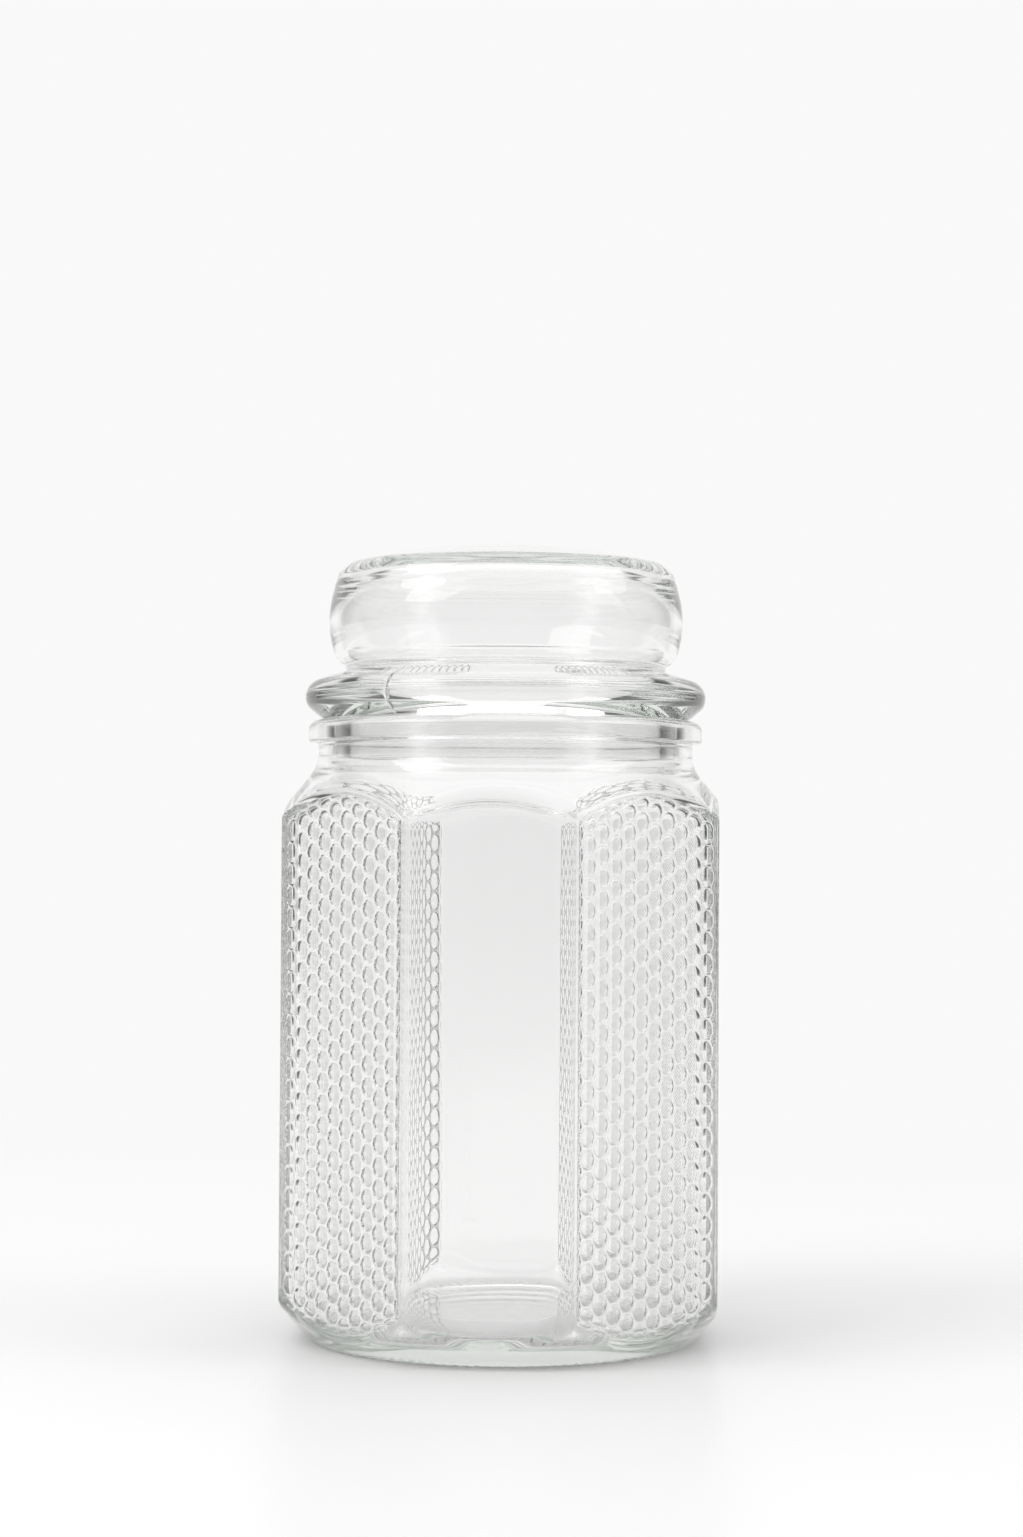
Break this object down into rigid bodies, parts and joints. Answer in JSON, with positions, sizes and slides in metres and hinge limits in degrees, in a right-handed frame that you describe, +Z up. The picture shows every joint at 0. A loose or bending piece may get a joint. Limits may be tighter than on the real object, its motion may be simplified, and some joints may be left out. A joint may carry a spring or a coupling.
{
  "type": "dome-lid storage jar",
  "caption": "Empty clear glass storage jar with plain and honeycomb sides, a round neck and a blown dome lid resting in its mouth.",
  "frame": {"origin": "middle of the ring the jar stands on, at ground level", "axes": "+Z up along the jar's axis; the four plain sides face +X, -X, +Y and -Y, and the four honeycomb sides face the diagonals"},
  "size_m": [0.098, 0.098, 0.1796],
  "materials": {
    "jar_glass": "clear moulded glass, very slightly green in thick edges",
    "lid_glass": "clear blown glass, very slightly green in thick edges"
  },
  "bodies": {
    "root": {"jar": "jar_glass", "lid": "lid_glass"}
  },
  "joints": []
}
